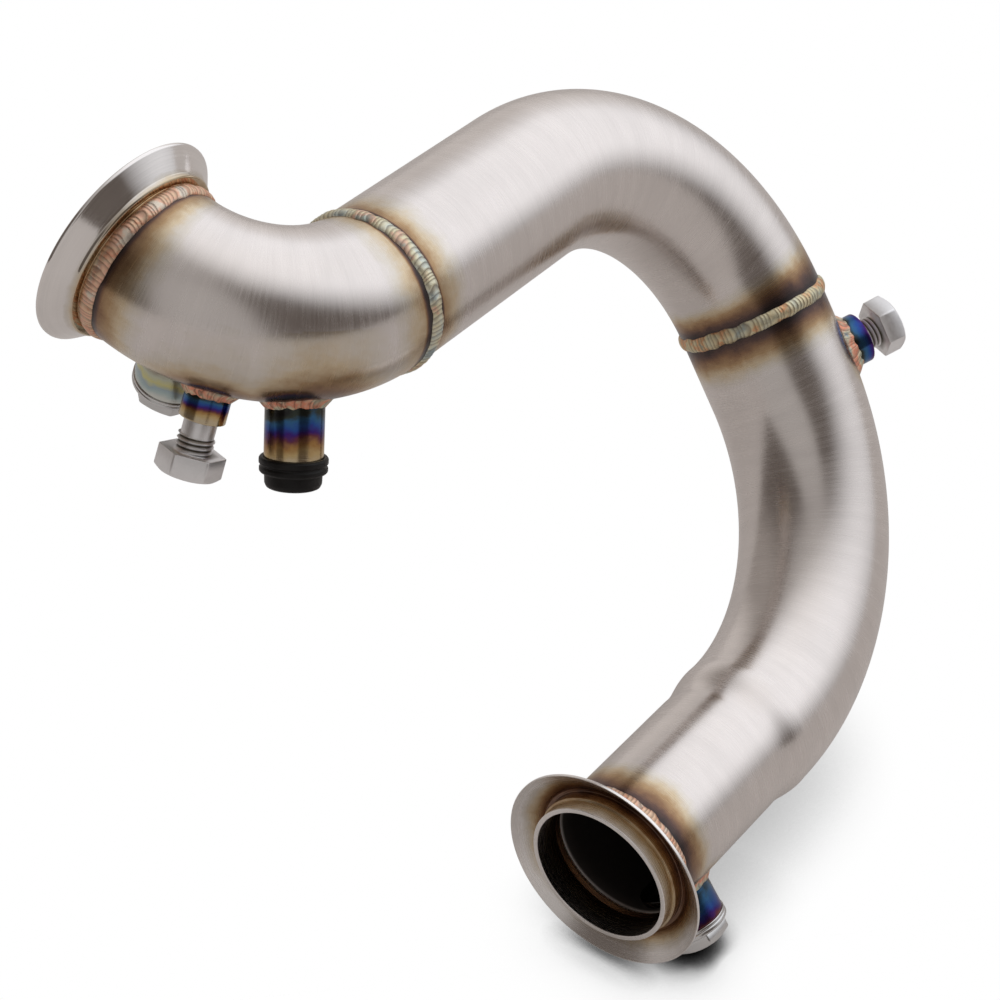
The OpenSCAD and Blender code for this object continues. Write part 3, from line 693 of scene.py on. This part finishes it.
def skin_gap(points, radius, runs):
    """How far points lie outside the skin of these runs: in a straight the distance from
    the axis, in a bend hypot(hypot(x - R, z) - R, y), each less the tube's radius."""
    gaps = []
    for k in runs:
        p = (points - STARTS[k][:3, 3]) @ STARTS[k][:3, :3]
        bend_r = RUNS[k][2]
        if bend_r:
            out = np.hypot(p[..., 0] - bend_r, p[..., 2])
            gaps.append(np.where(p[..., 2] >= 0, np.hypot(out - bend_r, p[..., 1]), 1e3))
        else:
            inside = (p[..., 2] >= 0) & (p[..., 2] <= RUNS[k][1])
            gaps.append(np.where(inside, np.hypot(p[..., 0], p[..., 1]), 1e3))
    return np.min(gaps, 0) - radius


def skin_height(matrix, x, y, radius, runs):
    """The height above the tube's axis at which (x, y) beside the boss's axis meets the
    skin, by stepping down by the gap until it closes."""
    z = np.full_like(x, radius)
    for _ in range(40):
        p = np.stack([x, y, z], -1) @ matrix[:3, :3].T + matrix[:3, 3]
        z = z - skin_gap(p, radius, runs)
    return z


def fillet(name, matrix, boss_r, leg, radius, runs, node, seed, pitch=2.8, columns=420):
    """Weld between a circle on the skin, leg outside the boss, and a circle as far up the
    boss. Across it, r falls by 1 - sin and z rises by 1 - cos of a quarter turn, which is
    hollow, and a sine of half a turn fills it out again, with scales on top."""
    angle = (np.arange(columns) * TAU / columns)[None, :]
    t = np.concatenate([np.linspace(0, 1, 17), [1.0, 0.5, 0.0]])[:, None]
    size = leg * (1 + waver(angle, seed, 2, 18, 0.14))
    toe_r = boss_r + size
    toe_z = skin_height(matrix, toe_r * np.cos(angle), toe_r * np.sin(angle), radius, runs)
    foot_z = skin_height(matrix, boss_r * np.cos(angle), boss_r * np.sin(angle), radius,
                         runs)
    scale = ripple(angle, 2 * t - 1, round(TAU * (boss_r + leg / 2) / pitch), seed + 1)
    fill = (0.28 * size + 0.22 * (scale - 0.4)) * np.sin(np.pi * t)
    r = boss_r + size * (1 - np.sin(np.pi / 2 * t)) + 0.7 * fill
    z = toe_z + (foot_z + size - toe_z) * (1 - np.cos(np.pi / 2 * t)) + 0.7 * fill
    r[0], z[0] = toe_r[0] + 0.15, toe_z[0] - 0.3
    r[16], r[-3:] = boss_r - 0.3, boss_r - 0.5
    z[-3], z[-2], z[-1] = foot_z[0] + size[0] - 0.4, foot_z[0], foot_z[0] - 0.8
    local = np.stack([r * np.cos(angle), r * np.sin(angle), z], -1)
    grid = local @ matrix[:3, :3].T + matrix[:3, 3]
    # Painted shade: not heat, but the seams between the pools, which the weld metal darkens.
    heat = np.clip(1 - 1.6 * scale, 0, 1) * np.ones_like(r)
    return piece(name, grid, local, True, "fillet_metal", [node], heat)


fillet("front_fillet", FRONT, FRONT_R, 2.8, TUBE_R, [5], "front_sensor_weld", 51)
fillet("pressure_fillet", PIPE, PIPE_R, 2.8, TUBE_R, [5], "pressure_pipe_weld", 53)
fillet("inlet_oxygen_fillet", INLET_OXYGEN, OXYGEN_R, 2.4, TUBE_R, [5],
       "inlet_oxygen_weld", 57)
fillet("rear_fillet", REAR, REAR_R, 4.2, TUBE_R, [1, 2], "rear_sensor_weld", 61)
fillet("outlet_oxygen_fillet", OUTLET_OXYGEN, OXYGEN_R, 2.4, OUTLET_R, [0],
       "outlet_oxygen_weld", 67)

# %% [markdown]
# ## Bosses and the pressure pipe
# Each boss is a plain turned barrel. What makes it real is its edge, eased and bright, and
# the bands of colour that fade with the distance from its weld. A cylinder has points at
# its two ends only, so the wall gets rows between them to carry the heat.

# %% Barrels


def barrel(name, matrix, outer, inner, foot, top, hot, reach, finish, node,
           columns=200, edge=0.5):
    """A turned barrel from foot to top, with heat falling from 1 at hot to 0 at reach."""
    rise = np.linspace(foot, top, 40)[1:-1]
    p = rounded([(inner, foot), (outer, foot), (outer, top), (inner, top)], edge)
    wall = np.stack([0 * rise + outer, rise], -1)
    k = np.argmax((p[:, 0] > outer - 1e-6) & (p[:, 1] > (foot + top) / 2))
    keep = (wall[:, 1] > p[k - 1, 1] + 0.1) & (wall[:, 1] < p[k, 1] - 0.1)
    p = np.concatenate([p[:k], wall[keep], p[k:]])
    grid, local = turned(matrix, p[:, 0], p[:, 1], columns)
    heat = 1 - (p[:, 1] - hot) / (reach - hot)
    return piece(name, grid, local, True, finish, [node],
                 np.clip(heat, -0.5, 1.0)[:, None])


BOLT_BORE, PLUG_BORE, PIPE_BORE = 6.25, 8.7, 9.4
barrel("front_barrel", FRONT, FRONT_R, BOLT_BORE, 29.6, TUBE_R + FRONT_RISE, TUBE_R + 2,
       TUBE_R + 10, "blued_barrel", "front_sensor_boss")
barrel("rear_barrel", REAR, REAR_R, BOLT_BORE, 28.9, TUBE_R + REAR_RISE, TUBE_R + 2,
       TUBE_R + 15, "blued_barrel", "rear_sensor_boss")
barrel("inlet_oxygen_barrel", INLET_OXYGEN, OXYGEN_R, PLUG_BORE, 27.4,
       TUBE_R + OXYGEN_RISE, TUBE_R + 1, TUBE_R + 13, "yellowed_barrel",
       "inlet_oxygen_boss")
barrel("outlet_oxygen_barrel", OUTLET_OXYGEN, OXYGEN_R, PLUG_BORE, 25.0,
       OUTLET_R + OXYGEN_RISE, OUTLET_R + 1, OUTLET_R + 22, "blued_barrel",
       "outlet_oxygen_boss")
barrel("pressure_barrel", PIPE, PIPE_R, PIPE_BORE, 28.6, TUBE_R + PIPE_RISE, TUBE_R + 3,
       TUBE_R + 21, "blued_barrel", "pressure_pipe")

# %% [markdown]
# ## Hexagons and threads
# A hexagon is a turned form too, if the radius changes with the angle: flats / 2 over the
# cosine of the angle from the nearest flat's middle. Cutting it with a shallow cone gives
# the curved chamfer of a real bolt head, which a bevelled six sided cylinder lacks. The
# thread is a true helix, worked into the same grid: its crest is one pitch higher after
# each turn. Plain rings would look like a thread too, until one sees where they end.

# %% Hexagons and threads
HEX_FLATS, CHAMFER = 22.0, 28.0         # across the flats in mm, and degrees


def hex_radius(columns, flats):
    """flats / 2 / cos(angle from the nearest flat's middle), with the corners eased."""
    angle = np.arange(columns) * 360 / columns
    r = flats / 2 / np.cos(np.radians(angle % 60 - 30))
    return np.minimum(r, flats / 2 / np.cos(np.radians(30)) - 0.18)


def hexagon(z, height, flats, columns, top_ease=0.97, dish=0.0):
    """Rows of r and z for a hexagon from z up: an eased lower edge, the sides, and a top
    whose chamfer falls by the tangent of CHAMFER outside top_ease of the flats."""
    r = hex_radius(columns, flats)
    flat_r = flats / 2 * top_ease
    side = z + height - np.maximum(r - flat_r, 0) * np.tan(np.radians(CHAMFER))
    low = np.full(columns, z)
    top = np.full(columns, z + height)
    rows_r = [r * 0.96, r - 0.12, r, r, r - 0.1, np.full(columns, flat_r + 0.05),
              np.full(columns, flat_r - 0.25), np.full(columns, flat_r * 0.6),
              np.zeros(columns)]
    rows_z = [low, low + 0.02, low + 0.25, side - 0.25, side - 0.06, top - 0.03, top,
              top - dish, top - dish]
    return np.array(rows_r), np.array(rows_z)


def thread(z, turns, pitch, crest, depth, columns):
    """Rows of r for a helix: crest less depth times how far the height, less the angle's
    share of a pitch, is from the nearest crest."""
    rise = np.linspace(0, turns, turns * 14 + 1)[:, None]
    angle = (np.arange(columns) / columns)[None, :]
    off = np.abs((rise - angle) % 1 - 0.5) * 2
    r = crest - depth * np.clip(1.25 * off - 0.1, 0, 1)
    return r, z + np.broadcast_to(rise * pitch, r.shape)


corner = hex_radius(360, HEX_FLATS).max()
print("hexagon, mm across the flats and corners:", HEX_FLATS, round(2 * corner, 1))

# %% [markdown]
# ## The blanking bolts
# Two bolts close the small sensor bosses for transport. Neither is screwed right home, so
# a few turns of the thread show under the head, whose roots are painted dark as painted
# shade.

# %% Bolts


def bolt(name, matrix, tip, boss_top, out, node, columns=240):
    """A plain pilot, a helical thread and a chamfered hexagon head, pole to pole."""
    foot = boss_top + out
    plain = [(0, tip), (5.6, tip), (6.2, tip + 0.6), (6.2, foot - 0.25), (6.2, foot)]
    r0, z0 = [np.repeat(np.array(v)[:, None], columns, 1) for v in zip(*plain)]
    r1, z1 = thread(foot, 3, 2.0, 7.0, 0.9, columns)
    r2, z2 = hexagon(foot + 6, 8.8, HEX_FLATS, columns)
    grid, local = turned(matrix, np.concatenate([r0, r1, r2]),
                         np.concatenate([z0, z1, z2]), columns)
    # Painted shade: the thread's roots, inside 6.95 mm, are marked for darkening; the value
    # is not heat.
    heat = np.concatenate([0 * r0, np.clip((6.95 - r1) / 0.8, 0, 1), 0 * r2])
    return piece(name, grid, local, False, "plated_bolt", [node], heat)


bolt("front_bolt", FRONT, TUBE_R + 1.5, TUBE_R + FRONT_RISE, 6.5, "front_sensor_bolt")
bolt("rear_bolt", REAR, TUBE_R + 1.5, TUBE_R + REAR_RISE, 1.0, "rear_sensor_bolt")

# %% [markdown]
# ## The oxygen sensor plugs
# Each plug is screwed down on a crush washer, so its thread is hidden and stays a plain
# shank. Seen from the side it is a turned collar with a low hexagon, dished on top.

# %% Plugs and washers
WASHER = 1.2                    # mm thick


def plug(name, matrix, base, node, columns=240):
    """A screwed shank, a turned collar and a low hexagon, pole to pole."""
    seat = base + OXYGEN_RISE + WASHER
    plain = [(0, base + 1.5), (8.2, base + 1.5), (8.65, base + 2), (8.65, seat),
             (13.2, seat), (13.65, seat + 0.05), (14.1, seat + 0.5), (14.15, seat + 0.7),
             (14.15, seat + 1.6), (14.1, seat + 1.8), (13.5, seat + 2.35),
             (13.2, seat + 2.5), (12.6, seat + 2.5)]
    r0, z0 = [np.repeat(np.array(v)[:, None], columns, 1) for v in zip(*plain)]
    r1, z1 = hexagon(seat + 2.5, 5.5, HEX_FLATS, columns, dish=0.6)
    r1[0] = np.minimum(r1[0], 12.4)
    grid, local = turned(matrix, np.concatenate([r0, r1]), np.concatenate([z0, z1]),
                         columns)
    return piece(name, grid, local, False, "bright_plug", [node], -0.5)


def washer(name, matrix, base, node, columns=200):
    """A crush washer: a flat ring with both edges rolled round."""
    low, high = base + OXYGEN_RISE, base + OXYGEN_RISE + WASHER
    p = rounded([(PLUG_BORE, low), (14.15, low), (14.15, high), (PLUG_BORE, high)], 0.5)
    grid, local = turned(matrix, p[:, 0], p[:, 1], columns)
    return piece(name, grid, local, True, "bright_plug", [node], -0.5)


plug("inlet_oxygen_closure", INLET_OXYGEN, TUBE_R, "inlet_oxygen_plug")
plug("outlet_oxygen_closure", OUTLET_OXYGEN, OUTLET_R, "outlet_oxygen_plug")
washer("inlet_oxygen_seal", INLET_OXYGEN, TUBE_R, "inlet_oxygen_washer")
washer("outlet_oxygen_seal", OUTLET_OXYGEN, OUTLET_R, "outlet_oxygen_washer")

# %% [markdown]
# ## The rubber cap
# The cap is one moulding that stretches over the pipe's end: a collar, two ridges to pull
# it off by, and a domed end. Its corners are softer than any turned one, since a mould has
# no sharp edges. It is turned from one profile, inside and out.

# %% The cap


def cap(columns=220):
    """A moulded cap: collar over the pipe, two ridges, and a domed end."""
    z = TUBE_R + PIPE_RISE - 4.5
    corners = [(0.01, z + 12), (0.01, z + 4.5), (11.05, z + 4.5), (11.05, z), (12.2, z),
               (12.75, z + 0.7), (12.75, z + 2.4), (12.1, z + 2.9), (12.1, z + 3.5),
               (12.6, z + 4.0), (12.6, z + 5.3), (12.0, z + 6.0), (10.7, z + 6.1),
               (10.55, z + 9.9), (9.9, z + 11.3), (8.7, z + 11.9)]
    p = rounded(corners, 0.45)
    grid, local = turned(PIPE, p[:, 0], p[:, 1], columns)
    return piece("rubber_cap", grid, local, True, "moulded_rubber",
                 ["pressure_pipe_cap"])


cap()

# %% [markdown]
# ## The floor
# The floor is plain and pale. To the camera it is white, except where the part shades it,
# once close to the contact and once more widely. To all other rays it is a plain pale
# card, so that it lights the underside of the tubes as a real floor would.

# %% Floor
FLOOR = float(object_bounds()[0][2])
FLOOR_WHITE, ROOM_WHITE = 0.08, 0.06    # shares of the white backdrop that steel mirrors
print("floor level, m:", round(FLOOR, 4))


def stage_floor():
    """A large square at the part's lowest point."""
    size, z = 6.0, FLOOR
    mesh = bpy.data.meshes.new("floor")
    mesh.from_pydata([(-size, -size, z), (size, -size, z), (size, size, z),
                      (-size, size, z)], [], [(0, 1, 2, 3)])
    f = Finish("studio_floor")
    near = f.node("ShaderNodeAmbientOcclusion", {"samples": 12}, {"Distance": 0.012}, 1)
    wide = f.node("ShaderNodeAmbientOcclusion", {"samples": 12}, {"Distance": 0.045}, 1)
    shade = f.mix(1.0, f.ramp(near, [
        (0.4, (0.0, 0.0, 0.0)), (0.66, (0.14, 0.14, 0.14)), (0.84, (0.68, 0.68, 0.68)),
        (0.97, (1.0, 1.0, 1.0))]), f.ramp(wide, [
            (0.0, (0.10, 0.10, 0.10)), (0.5, (0.60, 0.60, 0.60)),
            (0.74, (0.92, 0.92, 0.92)), (0.90, (1.0, 1.0, 1.0))]), "MULTIPLY")
    card = f.node("ShaderNodeBsdfDiffuse", {}, {"Color": (0.78, 0.735, 0.70)})
    glow = f.node("ShaderNodeEmission", {}, {"Color": shade})
    both = f.node("ShaderNodeMixShader", {}, {0: f.white_share(FLOOR_WHITE), 1: card,
                                              2: glow})
    f.node("ShaderNodeOutputMaterial", {}, {"Surface": both})
    mesh.materials.append(f.made)
    made = bpy.data.objects.new("floor", mesh)
    bpy.context.scene.collection.objects.link(made)


stage_floor()

# %% [markdown]
# ## The room
# The photograph is a studio picture on white: soft light from above and both sides, and
# darker gaps between the lights that draw long soft bands down the brushed tube. Lamps
# would do, but metal shows the shape of every lamp. So the softboxes are painted in the
# world, each with a soft edge and all at a plain level. The steel mirrors only a small
# share of the white backdrop, because in an all white room its bands would be gone.

# %% Room


def ray(azimuth, elevation):
    """The unit vector at those degrees round from X and up from the floor."""
    a, e = np.radians([azimuth, elevation])
    return float(np.cos(e) * np.cos(a)), float(np.cos(e) * np.sin(a)), float(np.sin(e))


def studio_world():
    """White to the camera. To everything else, a dim warm room with five softboxes, each a
    ramp on how near a direction is to the middle of the box, by their dot product."""
    f = Finish("studio", bpy.data.worlds)
    way = f.node("ShaderNodeTexCoord")

    def towards(azimuth, elevation):
        """The cosine of the angle between the ray and that direction."""
        return f.node("ShaderNodeVectorMath", {"operation": "DOT_PRODUCT"},
                      {0: way, 1: ray(azimuth, elevation)}, 1)

    up = towards(0, 90)
    level = up.math("SQRT", 1 - up * up)
    key = towards(71, 43).step(0.52, 0.86)
    overhead = up.step(0.72, 0.98)
    strip = (towards(-62, 0) - level * 0.86).step(0.0, 0.06) * up.step(-0.45, -0.1) \
        * (1 - up.step(0.70, 0.95))
    side = towards(133, 0).step(0.76, 0.95)
    back = towards(178, 18).step(0.70, 0.95)
    light = f.mix(back * 0.24, (0.065, 0.045, 0.033), (1.0, 0.93, 0.88))
    light = f.mix(key, light, (1.11, 1.12, 1.155))
    light = f.mix(overhead * 0.42, light, (1.0, 0.97, 0.95))
    light = f.mix(strip * 0.38, light, (1.0, 0.97, 0.95))
    light = f.mix(side * 0.58, light, (1.0, 0.95, 0.92))
    room = f.node("ShaderNodeBackground", {}, {"Color": light})
    white = f.node("ShaderNodeBackground", {}, {"Color": (1.0, 1.0, 1.0)})
    seen = f.node("ShaderNodeMixShader", {}, {0: f.white_share(ROOM_WHITE), 1: room,
                                              2: white})
    f.node("ShaderNodeOutputWorld", {}, {"Surface": seen})
    bpy.context.scene.world = f.made


studio_world()
print("world:", bpy.context.scene.world.name)

# %% [markdown]
# ## The camera
# The camera stands where the photograph's stood, looking down and to the left. Its place,
# aim and lens came from fitting the drawn centreline to the tube's outline in the picture.

# %% Camera


def portrait_camera():
    """The photograph's camera, from a fit of the tube's outline: its place, the way it
    looks and its right hand, with up as right x forward."""
    forward = np.array([-0.4664, 0.6332, -0.6176])
    forward /= np.linalg.norm(forward)
    right = np.array([0.8030, 0.5960, 0.0046])
    right -= right @ forward * forward
    right /= np.linalg.norm(right)
    m = np.eye(4)
    m[:3, 0], m[:3, 1], m[:3, 2] = right, np.cross(right, forward), -forward
    m[:3, 3] = 0.3868, -0.58985, 0.73583
    lens = bpy.data.cameras.new("portrait")
    lens.lens, lens.sensor_width, lens.clip_start = 94.68, 36.0, 0.01
    made = bpy.data.objects.new("portrait", lens)
    made.matrix_world = Matrix(m.tolist())
    bpy.context.scene.collection.objects.link(made)
    bpy.context.scene.camera = made


portrait_camera()
bpy.context.scene.view_settings.view_transform = "Standard"
print("lens, mm:", round(bpy.context.scene.camera.data.lens, 1))

# %% [markdown]
